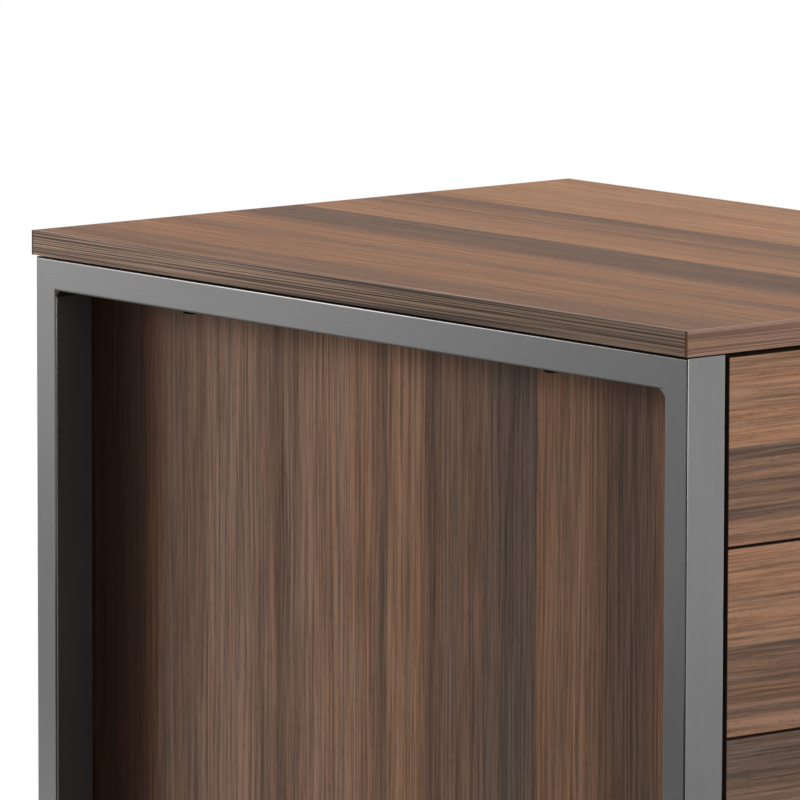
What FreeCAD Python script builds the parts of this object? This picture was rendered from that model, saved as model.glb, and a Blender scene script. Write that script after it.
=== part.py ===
import FreeCAD, Part
import os
from math import cos, radians, sin
from FreeCAD import Vector

# Filing cabinet with a wood-laminate case hung between two welded metal side frames.
# Two box drawers stand over one file drawer, each on a pair of telescopic slides.
# +X runs right along the front, +Y to the back and +Z up. The front faces -Y.
# The origin is on the floor, in the middle of the whole cabinet with its pulls.
# All lengths are in millimetres.

# Top panel
top_width = 445.0
top_depth = 615.0
top_thickness = 15.5
top_overhang = 2.0
band_thickness = 2.0
band_edge_radius = 0.8
cabinet_height = 610.0

# Side frames, each a closed loop of rectangular tube
tube_width = 30.0
tube_depth = 20.0
tube_wall = 1.5
tube_corner_radius = 1.6
tube_inner_radius = 0.5
weld_leg = 3.8
weld_hollow = 0.3
weld_end_inset = 0.3
weld_seat = 1.0

# Cross rails that tie the side frames together and carry the case
rail_depth = 30.0
rail_height = 20.0
rail_setback = 4.0

# Pads and screws between the frames and the top
pad_thickness = 1.0
pad_radius = 9.0
top_screw_inset = 136.0
top_screw_radius = 2.5
top_screw_grip = 11.0
screw_hole_clearance = 0.25
screw_head_radius = 5.0
screw_head_height = 2.4
screw_head_edge_radius = 1.0
washer_radius = 6.5
washer_thickness = 1.0
socket_radius = 1.9
socket_depth = 1.4

# Case bolts and base screws
case_bolt_inset = 205.0
case_bolt_radius = 3.0
case_bolt_reach = 7.0
case_bolt_head_radius = 5.5
case_bolt_head_height = 3.0
base_screw_side_inset = 70.5
base_screw_setback = 10.5
base_screw_grip = 11.0

# Case boards
board_thickness = 15.0
board_edge_radius = 0.4
back_recess = 2.0
front_standoff = 1.5
stretcher_depth = 80.0
dowel_radius = 4.0
dowel_in_side = 11.0
dowel_in_board = 19.0
dowel_edge_inset = 20.0

# Drawer fronts
front_thickness = 15.0
front_top_gap = 3.0
front_side_gap = 2.5
front_gap = 1.5
front_edge_radius = 0.6
box_front_height = 110.5
file_front_height = 295.0
front_floor_gap = 1.5

# Drawer boxes
drawer_side_thickness = 12.0
drawer_rear_gap = 23.0
drawer_edge_radius = 1.0
drawer_bottom_thickness = 6.0
groove_depth = 5.0
groove_rise = 8.0
side_top_drop = 18.5
box_side_lift = 12.0
file_side_lift = 21.5

# Telescopic slides: each member is a channel that nests in the next one
slide_thickness = 12.7
slide_height = 45.0
slide_setback = 4.0
slide_rear_setback = 0.5
slide_sheet = 1.2
slide_clearance = 0.3
file_slide_rise = 100.0

# Bars that carry hanging files across the file drawer
file_bar_spacing = 330.0
file_bar_front_inset = 60.0
file_bar_thickness = 2.5
file_bar_height = 16.0
file_bar_hook = 10.0
file_bar_sheet = 1.5

# Pulls
pull_projection = 28.0
pull_length = 170.0
pull_post_spacing = 160.0
pull_bar_depth = 8.0
pull_bar_height = 10.0
pull_post_width = 10.0
pull_edge_radius = 1.2

# Cam lock in the top drawer's front
lock_side_inset = 25.8
lock_drop = 27.0
lock_flange_radius = 11.5
lock_flange_thickness = 2.0
lock_body_radius = 9.5
lock_tail = 7.0
lock_nut_radius = 13.0
lock_nut_thickness = 3.5
lock_plug_radius = 6.0
lock_plug_clearance = 0.05
lock_stub_radius = 4.0
lock_face_gap = 0.3
keyway_width = 1.6
keyway_height = 7.0
keyway_depth = 3.0
cam_thickness = 2.5
cam_length = 23.0
cam_hub_radius = 8.0
cam_tip_radius = 6.0
cam_pocket_clearance = 1.5

# Levelling feet
foot_inset = 45.0
foot_pad_radius = 12.5
foot_pad_height = 8.0
foot_pad_edge = 2.0
foot_stem_radius = 4.0
foot_stem_length = 16.0
foot_thread_clearance = 0.05
foot_nut_radius = 7.5
foot_nut_height = 6.5

# Cutters run this far past what they cut
overrun = 1.0

# Places that follow from the sizes above
frame_half_width = top_width / 2 - top_overhang
case_half_width = frame_half_width - tube_width
case_inner_half = case_half_width - board_thickness
overall_depth = top_depth - top_overhang + pull_projection
pull_front_y = -overall_depth / 2
frame_front_y = pull_front_y + pull_projection
top_front_y = frame_front_y - top_overhang
top_rear_y = top_front_y + top_depth
frame_rear_y = top_rear_y - top_overhang
top_under_z = cabinet_height - top_thickness
frame_top_z = top_under_z - pad_thickness
frame_bottom_z = foot_pad_height
front_back_y = frame_front_y + front_thickness
case_front_y = front_back_y + front_standoff
back_panel_y = frame_rear_y - back_recess - board_thickness
front_half_width = case_half_width - front_side_gap
fronts_top_z = top_under_z - front_top_gap
second_top_z = fronts_top_z - box_front_height - front_gap
file_top_z = second_top_z - box_front_height - front_gap
case_bottom_z = file_top_z - file_front_height - front_floor_gap
stretcher_bottom_z = frame_top_z - board_thickness
drawer_half_width = case_inner_half - slide_thickness
drawer_inner_half = drawer_half_width - drawer_side_thickness
drawer_rear_y = back_panel_y - drawer_rear_gap
slide_front_y = case_front_y + slide_setback
slide_rear_y = drawer_rear_y - slide_rear_setback
box_side_height = box_front_height - box_side_lift - side_top_drop
file_side_height = file_front_height - file_side_lift - side_top_drop
pull_drop = box_front_height / 2
tube_centre_x = frame_half_width - tube_width / 2
base_screw_x = case_half_width - base_screw_side_inset
lock_x = drawer_inner_half - lock_side_inset
lock_z = fronts_top_z - lock_drop
cam_front_y = front_back_y + lock_tail + lock_face_gap
sides = (("left", -1), ("right", 1))
screw_ends_y = (frame_front_y + top_screw_inset, frame_rear_y - top_screw_inset)

drawers = (
    {"name": "top_drawer", "top": fronts_top_z, "front": box_front_height,
     "side": box_side_height, "lift": box_side_lift, "rise": box_side_height / 2},
    {"name": "second_drawer", "top": second_top_z, "front": box_front_height,
     "side": box_side_height, "lift": box_side_lift, "rise": box_side_height / 2},
    {"name": "file_drawer", "top": file_top_z, "front": file_front_height,
     "side": file_side_height, "lift": file_side_lift, "rise": file_slide_rise},
)


# Shared shape helpers
def block(x0, x1, y0, y1, z0, z1):
    """A box between two corners, given in any order along X."""
    low_x = min(x0, x1)
    return Part.makeBox(abs(x1 - x0), y1 - y0, z1 - z0, Vector(low_x, y0, z0))


def rod(radius, length, base, direction):
    return Part.makeCylinder(radius, length, base, direction)


def along(axis):
    """A filter that keeps the straight edges that run along one axis."""
    def keep(edge):
        ends = edge.Vertexes
        if len(ends) != 2 or not isinstance(edge.Curve, Part.Line):
            return False
        step = ends[1].Point - ends[0].Point
        return abs(step.dot(axis)) > step.Length * parallel_share
    return keep


parallel_share = 0.999
x_axis = Vector(1, 0, 0)
y_axis = Vector(0, 1, 0)
z_axis = Vector(0, 0, 1)


def rounded(shape, radius, keep):
    edges = [edge for edge in shape.Edges if keep(edge)]
    return shape.makeFillet(radius, edges)


def prism(points, x0, x1):
    """A closed outline of (y, z) points drawn at x0 and pushed along X to x1."""
    corners = [Vector(x0, y, z) for y, z in points]
    wire = Part.makePolygon(corners + corners[:1])
    return Part.Face(wire).extrude(Vector(x1 - x0, 0, 0))


def hexagon_nut(radius, height, base, direction, bore):
    """A six-sided nut with a round bore, standing on base."""
    turns = [radians(60 * step) for step in range(6)]
    corners = [Vector(radius * cos(turn), radius * sin(turn), 0) for turn in turns]
    wire = Part.makePolygon(corners + corners[:1])
    nut = Part.Face(wire).extrude(Vector(0, 0, height))
    hole = rod(bore, height + 2 * overrun, Vector(0, 0, -overrun), z_axis)
    nut = nut.cut(hole)
    nut.Placement = FreeCAD.Placement(base, FreeCAD.Rotation(z_axis, direction))
    return nut


def save(name, solids):
    shape = solids[0] if len(solids) == 1 else Part.makeCompound(solids)
    for solid in shape.Solids:
        if not solid.isValid():
            raise RuntimeError(name + " is not a valid solid")
    shape.exportStep("parts/" + name + ".step")
    print(name, len(shape.Solids), "solids, volume", round(shape.Volume))


# Rectangular tube with rounded corners, running along one axis
def tube(axis, x0, x1, y0, y1, z0, z1):
    low_x, high_x = min(x0, x1), max(x0, x1)
    outer = rounded(block(low_x, high_x, y0, y1, z0, z1), tube_corner_radius, along(axis))
    inset = [0 if axis[i] else tube_wall for i in range(3)]
    past = [overrun if axis[i] else 0 for i in range(3)]
    inner = block(
        low_x + inset[0] - past[0], high_x - inset[0] + past[0],
        y0 + inset[1] - past[1], y1 - inset[1] + past[1],
        z0 + inset[2] - past[2], z1 - inset[2] + past[2],
    )
    inner = rounded(inner, tube_inner_radius, along(axis))
    return outer.cut(inner)


def frame_pieces(sign):
    """The four mitred tubes of one side frame."""
    outer_x = sign * frame_half_width
    inner_x = sign * case_half_width
    far_x = outer_x + sign * overrun
    near_x = inner_x - sign * overrun
    y0, y1, z0, z1 = frame_front_y, frame_rear_y, frame_bottom_z, frame_top_z
    t = tube_depth
    front_post = tube(z_axis, inner_x, outer_x, y0, y0 + t, z0, z1)
    rear_post = tube(z_axis, inner_x, outer_x, y1 - t, y1, z0, z1)
    top_bar = tube(y_axis, inner_x, outer_x, y0, y1, z1 - t, z1)
    bottom_bar = tube(y_axis, inner_x, outer_x, y0, y1, z0, z0 + t)
    front_post = front_post.common(prism(
        [(y0, z0), (y0, z1), (y0 + t, z1 - t), (y0 + t, z0 + t)], near_x, far_x))
    rear_post = rear_post.common(prism(
        [(y1, z0), (y1, z1), (y1 - t, z1 - t), (y1 - t, z0 + t)], near_x, far_x))
    top_bar = top_bar.common(prism(
        [(y0, z1), (y1, z1), (y1 - t, z1 - t), (y0 + t, z1 - t)], near_x, far_x))
    bottom_bar = bottom_bar.common(prism(
        [(y0, z0), (y1, z0), (y1 - t, z0 + t), (y0 + t, z0 + t)], near_x, far_x))
    return front_post, rear_post, top_bar, bottom_bar


def corner_weld(sign, y, z, step_y, step_z, tubes):
    """A slightly hollow-faced weld in one inner corner, fitted to the tubes' rounded edges."""
    x0 = sign * (case_half_width + weld_end_inset)
    x1 = sign * (frame_half_width - weld_end_inset)
    bend = weld_leg / 2 - weld_hollow * cos(radians(45))

    def point(out_y, out_z):
        return Vector(x0, y + step_y * out_y, z + step_z * out_z)

    outline = [point(0, weld_leg), point(-weld_seat, weld_leg), point(-weld_seat, -weld_seat),
               point(weld_leg, -weld_seat), point(weld_leg, 0)]
    edges = [Part.LineSegment(start, end).toShape() for start, end in zip(outline, outline[1:])]
    edges.append(Part.Arc(outline[-1], point(bend, bend), outline[0]).toShape())
    return Part.Face(Part.Wire(edges)).extrude(Vector(x1 - x0, 0, 0)).cut(tubes)


def build_top():
    x0, x1 = -top_width / 2, top_width / 2
    y0, y1 = top_front_y, top_rear_y
    z0, z1 = top_under_z, cabinet_height
    core = block(x0 + band_thickness, x1 - band_thickness,
                 y0 + band_thickness, y1 - band_thickness, z0, z1)
    for _, sign in sides:
        for y in screw_ends_y:
            base = Vector(sign * tube_centre_x, y, z0 - overrun)
            core = core.cut(rod(top_screw_radius, top_screw_grip + overrun, base, z_axis))
    save("top_panel", [core])
    bands = []
    for outer, inner in ((y0, y0 + band_thickness), (y1, y1 - band_thickness)):
        band = block(x0, x1, min(outer, inner), max(outer, inner), z0, z1)
        bands.append(rounded(band, band_edge_radius, on_plane(y_axis, outer)))
    for outer, inner in ((x0, x0 + band_thickness), (x1, x1 - band_thickness)):
        band = block(outer, inner, y0 + band_thickness, y1 - band_thickness, z0, z1)
        bands.append(rounded(band, band_edge_radius, long_edges(x_axis, outer, y_axis)))
    save("top_edge_bands", bands)


def on_plane(normal, place):
    """A filter that keeps the edges that lie on a plane square to an axis."""
    def keep(edge):
        return all(abs(corner.Point.dot(normal) - place) < plane_tolerance
                   for corner in edge.Vertexes)
    return keep


def long_edges(normal, place, axis):
    """A filter that keeps the edges that lie on a plane and run along an axis."""
    flat = on_plane(normal, place)
    straight = along(axis)
    return lambda edge: flat(edge) and straight(edge)


plane_tolerance = 0.001


def build_frames():
    welds = []
    hole = top_screw_radius + screw_hole_clearance
    thread = foot_stem_radius + foot_thread_clearance
    for side, sign in sides:
        front_post, rear_post, top_bar, bottom_bar = frame_pieces(sign)
        for y in screw_ends_y:
            base = Vector(sign * tube_centre_x, y, frame_top_z - tube_depth - overrun)
            top_bar = top_bar.cut(rod(hole, tube_depth + 2 * overrun, base, z_axis))
        for y in case_bolt_places():
            base = Vector(sign * (case_half_width - overrun), y, case_bolt_z())
            bore = rod(case_bolt_radius, tube_wall + 2 * overrun, base, x_axis * sign)
            top_bar = top_bar.cut(bore)
        for y in foot_places():
            base = Vector(sign * tube_centre_x, y, frame_bottom_z - overrun)
            bottom_bar = bottom_bar.cut(rod(thread, tube_wall + 2 * overrun, base, z_axis))
        save(side + "_front_post", [front_post])
        save(side + "_rear_post", [rear_post])
        save(side + "_top_bar", [top_bar])
        save(side + "_bottom_bar", [bottom_bar])
        tubes = [front_post, rear_post, top_bar, bottom_bar]
        for y, step_y in ((frame_front_y + tube_depth, 1), (frame_rear_y - tube_depth, -1)):
            for z, step_z in ((frame_bottom_z + tube_depth, 1), (frame_top_z - tube_depth, -1)):
                welds.append(corner_weld(sign, y, z, step_y, step_z, tubes))
    save("corner_welds", welds)


def rail_places():
    front = frame_front_y + rail_setback
    rear = frame_rear_y - rail_setback - rail_depth
    return (("front", front, case_front_y + base_screw_setback),
            ("rear", rear, back_panel_y - base_screw_setback))


def base_screw_places():
    return [(sign * base_screw_x, y) for _, sign in sides for _, _, y in rail_places()]


def build_cross_rails():
    z0 = case_bottom_z - rail_height
    hole = top_screw_radius + screw_hole_clearance
    for place, y0, screw_y in rail_places():
        rail = tube(x_axis, -case_half_width, case_half_width, y0, y0 + rail_depth,
                    z0, case_bottom_z)
        for _, sign in sides:
            base = Vector(sign * base_screw_x, screw_y, z0 - overrun)
            rail = rail.cut(rod(hole, rail_height + 2 * overrun, base, z_axis))
        save(place + "_cross_rail", [rail])


def pan_screw(x, y, seat_z, length, with_washer):
    """A screw that points up, with its head below seat_z and a hexagon socket."""
    washer = washer_thickness if with_washer else 0
    head_top = seat_z - washer
    head = rod(screw_head_radius, screw_head_height,
               Vector(x, y, head_top - screw_head_height), z_axis)
    head = rounded(head, screw_head_edge_radius,
                   lambda edge: edge.BoundBox.ZMax < head_top - screw_head_height / 2)
    shank = rod(top_screw_radius, length + washer, Vector(x, y, head_top), z_axis)
    socket = hexagon_socket(Vector(x, y, head_top - screw_head_height - overrun), z_axis)
    solids = [head.fuse(shank).removeSplitter().cut(socket)]
    if with_washer:
        ring = rod(washer_radius, washer, Vector(x, y, head_top), z_axis)
        ring = ring.cut(rod(top_screw_radius, washer + 2 * overrun,
                            Vector(x, y, head_top - overrun), z_axis))
        solids.append(ring)
    return solids


def hexagon_socket(base, direction):
    turns = [radians(60 * step) for step in range(6)]
    corners = [Vector(socket_radius * cos(turn), socket_radius * sin(turn), 0) for turn in turns]
    wire = Part.makePolygon(corners + corners[:1])
    socket = Part.Face(wire).extrude(Vector(0, 0, socket_depth + overrun))
    socket.Placement = FreeCAD.Placement(base, FreeCAD.Rotation(z_axis, direction))
    return socket


def build_top_fixings():
    screws = []
    pads = []
    for _, sign in sides:
        for y in screw_ends_y:
            x = sign * tube_centre_x
            seat_z = frame_top_z - tube_depth
            length = tube_depth + pad_thickness + top_screw_grip
            screws.extend(pan_screw(x, y, seat_z, length, True))
            pad = rod(pad_radius, pad_thickness, Vector(x, y, frame_top_z), z_axis)
            hole = rod(top_screw_radius + screw_hole_clearance, pad_thickness + 2 * overrun,
                       Vector(x, y, frame_top_z - overrun), z_axis)
            pads.append(pad.cut(hole))
    save("top_screws", screws)
    save("top_pads", pads)


def case_bolt_z():
    return frame_top_z - tube_depth / 2


def case_bolt_places():
    return (frame_front_y + case_bolt_inset, frame_rear_y - case_bolt_inset)


def build_case_bolts():
    bolts = []
    for _, sign in sides:
        for y in case_bolt_places():
            outward = x_axis * sign
            base = Vector(sign * case_inner_half, y, case_bolt_z())
            head_base = base - outward * case_bolt_head_height
            head = rod(case_bolt_head_radius, case_bolt_head_height, head_base, outward)
            shank = rod(case_bolt_radius, board_thickness + case_bolt_reach, base, outward)
            socket = hexagon_socket(head_base - outward * overrun, outward)
            bolts.append(head.fuse(shank).cut(socket))
    save("case_bolts", bolts)


def build_base_screws():
    screws = []
    for x, y in base_screw_places():
        length = rail_height + base_screw_grip
        screws.extend(pan_screw(x, y, case_bottom_z - rail_height, length, False))
    save("base_screws", screws)


# Dowels, given as a point on the joint face and the side that they point to
def dowel_places():
    places = []
    rows_y = [case_front_y + dowel_edge_inset, (case_front_y + back_panel_y) / 2,
              back_panel_y - dowel_edge_inset]
    for y in rows_y:
        places.append((y, case_bottom_z + board_thickness / 2))
    for y0 in (case_front_y, back_panel_y - stretcher_depth):
        for y in (y0 + dowel_edge_inset, y0 + stretcher_depth - dowel_edge_inset):
            places.append((y, stretcher_bottom_z + board_thickness / 2))
    return places


def dowel(sign, y, z):
    base = Vector(sign * (case_inner_half - dowel_in_board), y, z)
    return rod(dowel_radius, dowel_in_board + dowel_in_side, base, x_axis * sign)


def all_dowels():
    return [dowel(sign, y, z) for _, sign in sides for y, z in dowel_places()]


def build_case():
    holes = all_dowels()
    for side, sign in sides:
        panel = block(sign * case_inner_half, sign * case_half_width,
                      case_front_y, back_panel_y, case_bottom_z, frame_top_z)
        panel = rounded(panel, board_edge_radius, long_edges(y_axis, case_front_y, z_axis))
        for y in case_bolt_places():
            base = Vector(sign * (case_inner_half - overrun), y, case_bolt_z())
            panel = panel.cut(rod(case_bolt_radius, board_thickness + 2 * overrun,
                                  base, x_axis * sign))
        save(side + "_side_panel", [panel.cut(holes)])
    bottom = block(-case_inner_half, case_inner_half, case_front_y, back_panel_y,
                   case_bottom_z, case_bottom_z + board_thickness)
    for x, y in base_screw_places():
        base = Vector(x, y, case_bottom_z - overrun)
        bottom = bottom.cut(rod(top_screw_radius, base_screw_grip + overrun, base, z_axis))
    save("bottom_panel", [bottom.cut(holes)])
    back = block(-case_half_width, case_half_width, back_panel_y,
                 back_panel_y + board_thickness, case_bottom_z, frame_top_z)
    rear_face = back_panel_y + board_thickness
    save("back_panel", [rounded(back, board_edge_radius, on_plane(y_axis, rear_face))])
    rear_stretcher = block(-case_inner_half, case_inner_half, back_panel_y - stretcher_depth,
                           back_panel_y, stretcher_bottom_z, frame_top_z)
    save("rear_stretcher", [rear_stretcher.cut(holes)])
    front_stretcher = block(-case_inner_half, case_inner_half, case_front_y,
                            case_front_y + stretcher_depth, stretcher_bottom_z, frame_top_z)
    save("front_stretcher", [front_stretcher.cut(holes + [cam_pocket()])])
    save("case_dowels", holes)


# The slot in the front stretcher that the lock's cam turns up into
def cam_pocket():
    gap = cam_pocket_clearance
    return block(lock_x - cam_length - gap, lock_x + cam_hub_radius + gap,
                 cam_front_y - gap / 2, cam_front_y + cam_thickness + gap / 2,
                 stretcher_bottom_z - overrun, lock_z + cam_length + gap)


# Telescopic slides
def channel(sign, web_x, web_step, flange_x, half_height, z):
    """A channel along Y: a web on one side and two flanges to flange_x."""
    y0, y1 = slide_front_y, slide_rear_y
    web = block(sign * web_x, sign * (web_x + web_step), y0, y1,
                z - half_height, z + half_height)
    lower = block(sign * web_x, sign * flange_x, y0, y1,
                  z - half_height, z - half_height + slide_sheet)
    upper = block(sign * web_x, sign * flange_x, y0, y1,
                  z + half_height - slide_sheet, z + half_height)
    return web.fuse([lower, upper]).removeSplitter()


def build_slides(drawer):
    z = drawer["top"] - drawer["front"] + drawer["lift"] + drawer["rise"]
    step = slide_sheet + slide_clearance
    outer_web = case_inner_half
    middle_web = outer_web - slide_sheet - slide_clearance
    inner_web = drawer_half_width
    outer_flange = inner_web + slide_sheet + slide_clearance
    half = slide_height / 2
    outer = []
    middle = []
    inner = []
    for _, sign in sides:
        outer.append(channel(sign, outer_web, -slide_sheet, outer_flange, half, z))
        middle.append(channel(sign, middle_web, -slide_sheet, outer_flange, half - step, z))
        inner.append(channel(sign, inner_web, slide_sheet,
                             middle_web - slide_sheet - slide_clearance, half - 2 * step, z))
    save(drawer["name"] + "_outer_slides", outer)
    save(drawer["name"] + "_middle_slides", middle)
    save(drawer["name"] + "_inner_slides", inner)


# Drawers
def drawer_front(drawer):
    z1 = drawer["top"]
    z0 = z1 - drawer["front"]
    front = block(-front_half_width, front_half_width, frame_front_y, front_back_y, z0, z1)
    front = rounded(front, front_edge_radius, on_plane(y_axis, frame_front_y))
    if drawer["name"] == "top_drawer":
        base = Vector(lock_x, frame_front_y - overrun, lock_z)
        front = front.cut(rod(lock_body_radius, front_thickness + 2 * overrun, base, y_axis))
    return front


def build_drawer_box(drawer):
    name = drawer["name"]
    z0 = drawer["top"] - drawer["front"] + drawer["lift"]
    z1 = z0 + drawer["side"]
    floor_z = z0 + groove_rise
    bottom_half = drawer_inner_half + groove_depth
    bottom = block(-bottom_half, bottom_half, front_back_y, drawer_rear_y,
                   floor_z, floor_z + drawer_bottom_thickness)
    for side, sign in sides:
        panel = block(sign * drawer_inner_half, sign * drawer_half_width,
                      front_back_y, drawer_rear_y, z0, z1)
        panel = rounded(panel, drawer_edge_radius, lambda edge: (
            along(y_axis)(edge) and on_plane(z_axis, z1)(edge)))
        save(name + "_" + side + "_side", [panel.cut(bottom)])
    back = block(-drawer_inner_half, drawer_inner_half, drawer_rear_y - drawer_side_thickness,
                 drawer_rear_y, floor_z + drawer_bottom_thickness, z1)
    save(name + "_back", [back])
    save(name + "_bottom", [bottom])


def pull(drawer):
    """A square bar on two posts."""
    z = drawer["top"] - pull_drop
    half = pull_length / 2
    bar_back_y = pull_front_y + pull_bar_depth
    low_z, high_z = z - pull_bar_height / 2, z + pull_bar_height / 2
    bar = block(-half, half, pull_front_y, bar_back_y, low_z, high_z)
    posts = []
    for _, sign in sides:
        x = sign * pull_post_spacing / 2
        posts.append(block(x - pull_post_width / 2, x + pull_post_width / 2,
                           pull_front_y, frame_front_y, low_z, high_z))
    whole = bar.fuse(posts).removeSplitter()
    return rounded(whole, pull_edge_radius,
                   lambda edge: not on_plane(y_axis, frame_front_y)(edge))


def file_bars(drawer):
    """Two bars across the drawer, with ends that hook over its sides."""
    top_z = drawer["top"] - drawer["front"] + drawer["lift"] + drawer["side"]
    bars = []
    for y in (front_back_y + file_bar_front_inset,
              front_back_y + file_bar_front_inset + file_bar_spacing):
        y1 = y + file_bar_thickness
        web = block(-drawer_inner_half, drawer_inner_half, y, y1,
                    top_z - file_bar_height, top_z + file_bar_sheet)
        saddle_half = drawer_half_width + file_bar_sheet
        saddle = block(-saddle_half, saddle_half, y, y1, top_z, top_z + file_bar_sheet)
        bar = web.fuse(saddle)
        for _, sign in sides:
            hook = block(sign * drawer_half_width, sign * saddle_half, y, y1,
                         top_z - file_bar_hook, top_z + file_bar_sheet)
            bar = bar.fuse(hook)
        bars.append(bar.removeSplitter())
    return bars


# Cam lock
def build_lock():
    face_y = frame_front_y - lock_flange_thickness
    flange = rod(lock_flange_radius, lock_flange_thickness,
                 Vector(lock_x, face_y, lock_z), y_axis)
    body_length = lock_flange_thickness + front_thickness + lock_tail
    body = rod(lock_body_radius, body_length, Vector(lock_x, face_y, lock_z), y_axis)
    bore = rod(lock_plug_radius + lock_plug_clearance, body_length + 2 * overrun,
               Vector(lock_x, face_y - overrun, lock_z), y_axis)
    barrel = flange.fuse(body).removeSplitter().cut(bore)
    nut = hexagon_nut(lock_nut_radius, lock_nut_thickness,
                      Vector(lock_x, front_back_y, lock_z), y_axis, lock_body_radius)
    save("lock_barrel", [barrel, nut])
    plug_length = body_length + lock_face_gap
    plug = rod(lock_plug_radius, plug_length, Vector(lock_x, face_y, lock_z), y_axis)
    stub = rod(lock_stub_radius, plug_length + cam_thickness,
               Vector(lock_x, face_y, lock_z), y_axis)
    keyway = block(lock_x - keyway_width / 2, lock_x + keyway_width / 2,
                   face_y - overrun, face_y + keyway_depth,
                   lock_z - keyway_height / 2, lock_z + keyway_height / 2)
    save("lock_plug", [plug.fuse(stub).removeSplitter().cut(keyway)])
    save("lock_cam", [lock_cam()])


def lock_cam():
    """A plate that points to the left from its hub, with a rounded tip."""
    hub = rod(cam_hub_radius, cam_thickness, Vector(lock_x, cam_front_y, lock_z), y_axis)
    tip_x = lock_x - cam_length + cam_tip_radius
    tip = rod(cam_tip_radius, cam_thickness, Vector(tip_x, cam_front_y, lock_z), y_axis)
    arm = block(tip_x, lock_x, cam_front_y, cam_front_y + cam_thickness,
                lock_z - cam_tip_radius, lock_z + cam_tip_radius)
    hole = rod(lock_stub_radius, cam_thickness + 2 * overrun,
               Vector(lock_x, cam_front_y - overrun, lock_z), y_axis)
    return hub.fuse([tip, arm]).removeSplitter().cut(hole)


# Levelling feet
def foot_places():
    return (frame_front_y + foot_inset, frame_rear_y - foot_inset)


def build_feet():
    nuts = []
    for side, sign in sides:
        for place, y in zip(("front", "rear"), foot_places()):
            x = sign * tube_centre_x
            pad = rod(foot_pad_radius, foot_pad_height, Vector(x, y, 0), z_axis)
            pad = pad.makeChamfer(foot_pad_edge, [edge for edge in pad.Edges
                                                  if edge.BoundBox.ZMin > foot_pad_height / 2])
            stem = rod(foot_stem_radius, foot_pad_height + foot_stem_length,
                       Vector(x, y, 0), z_axis)
            save(place + "_" + side + "_foot", [pad.fuse(stem).removeSplitter()])
            nut_base = Vector(x, y, frame_bottom_z + tube_wall)
            nuts.append(hexagon_nut(foot_nut_radius, foot_nut_height, nut_base, z_axis,
                                    foot_stem_radius + foot_thread_clearance))
    save("foot_nuts", nuts)


os.makedirs("parts", exist_ok=True)
build_top()
build_frames()
build_cross_rails()
build_top_fixings()
build_case_bolts()
build_base_screws()
build_case()
for drawer in drawers:
    build_slides(drawer)
    save(drawer["name"] + "_front", [drawer_front(drawer)])
    build_drawer_box(drawer)
    save(drawer["name"] + "_pull", [pull(drawer)])
save("hanging_file_bars", file_bars(drawers[-1]))
build_lock()
build_feet()
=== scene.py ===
import bpy
from math import cos, pi, radians, sin
from mathutils import Matrix, Vector


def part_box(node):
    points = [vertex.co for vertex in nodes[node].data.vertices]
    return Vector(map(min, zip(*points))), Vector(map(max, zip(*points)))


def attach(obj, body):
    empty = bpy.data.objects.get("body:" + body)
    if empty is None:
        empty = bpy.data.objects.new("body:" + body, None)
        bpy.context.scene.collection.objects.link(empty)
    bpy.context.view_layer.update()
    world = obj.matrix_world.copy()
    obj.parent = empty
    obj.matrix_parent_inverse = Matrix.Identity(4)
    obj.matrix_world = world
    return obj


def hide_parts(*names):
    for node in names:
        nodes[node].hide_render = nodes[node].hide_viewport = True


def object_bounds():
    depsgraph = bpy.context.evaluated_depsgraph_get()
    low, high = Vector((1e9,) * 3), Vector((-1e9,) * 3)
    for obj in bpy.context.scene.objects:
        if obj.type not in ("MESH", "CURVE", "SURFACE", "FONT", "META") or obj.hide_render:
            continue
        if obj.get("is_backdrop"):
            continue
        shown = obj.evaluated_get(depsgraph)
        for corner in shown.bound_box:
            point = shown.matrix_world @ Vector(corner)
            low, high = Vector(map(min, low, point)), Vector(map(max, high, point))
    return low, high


# A pedestal filing cabinet: a walnut laminate case and top between two satin metal loops,
# with two box drawers over a file drawer. Metres, in the frame's own axes: the front faces -Y.

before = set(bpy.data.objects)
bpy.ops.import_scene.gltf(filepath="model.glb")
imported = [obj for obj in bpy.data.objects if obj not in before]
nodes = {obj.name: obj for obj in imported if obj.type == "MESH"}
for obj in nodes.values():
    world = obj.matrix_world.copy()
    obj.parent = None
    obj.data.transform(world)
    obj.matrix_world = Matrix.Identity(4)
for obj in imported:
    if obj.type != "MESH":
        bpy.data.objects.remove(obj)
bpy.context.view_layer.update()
mm = 0.001
drawers = ("top_drawer", "second_drawer", "file_drawer")
squareOn = 0.7  # a normal with more than this along an axis belongs to a face square to it
white = (1, 1, 1, 1)
black = (0, 0, 0, 1)
print("frame loaded:", len(nodes), "nodes")


# Node helpers
def addNode(tree, kind, **settings):
    node = tree.nodes.new("ShaderNode" + kind)
    for name, value in settings.items():
        setattr(node, name, value)
    return node


def feed(tree, socket, value):
    if isinstance(value, bpy.types.NodeSocket):
        tree.links.new(value, socket)
    else:
        socket.default_value = value


def calc(tree, operation, first, second=0.0):
    node = addNode(tree, "Math", operation=operation)
    feed(tree, node.inputs[0], first)
    feed(tree, node.inputs[1], second)
    return node.outputs[0]


def add(tree, first, second):
    return calc(tree, "ADD", first, second)


def times(tree, first, second):
    return calc(tree, "MULTIPLY", first, second)


def swing(tree, value, reach):
    # turns a value about a half into one about zero
    return times(tree, calc(tree, "SUBTRACT", value, 0.5), reach)


def oneLess(tree, share):
    return calc(tree, "SUBTRACT", 1.0, share)


def absolute(tree, value):
    return calc(tree, "ABSOLUTE", value)


def over(tree, value, level):
    return calc(tree, "GREATER_THAN", value, level)


def under(tree, value, level):
    return calc(tree, "LESS_THAN", value, level)


def rgba(colour):
    return (*colour, 1.0)


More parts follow.
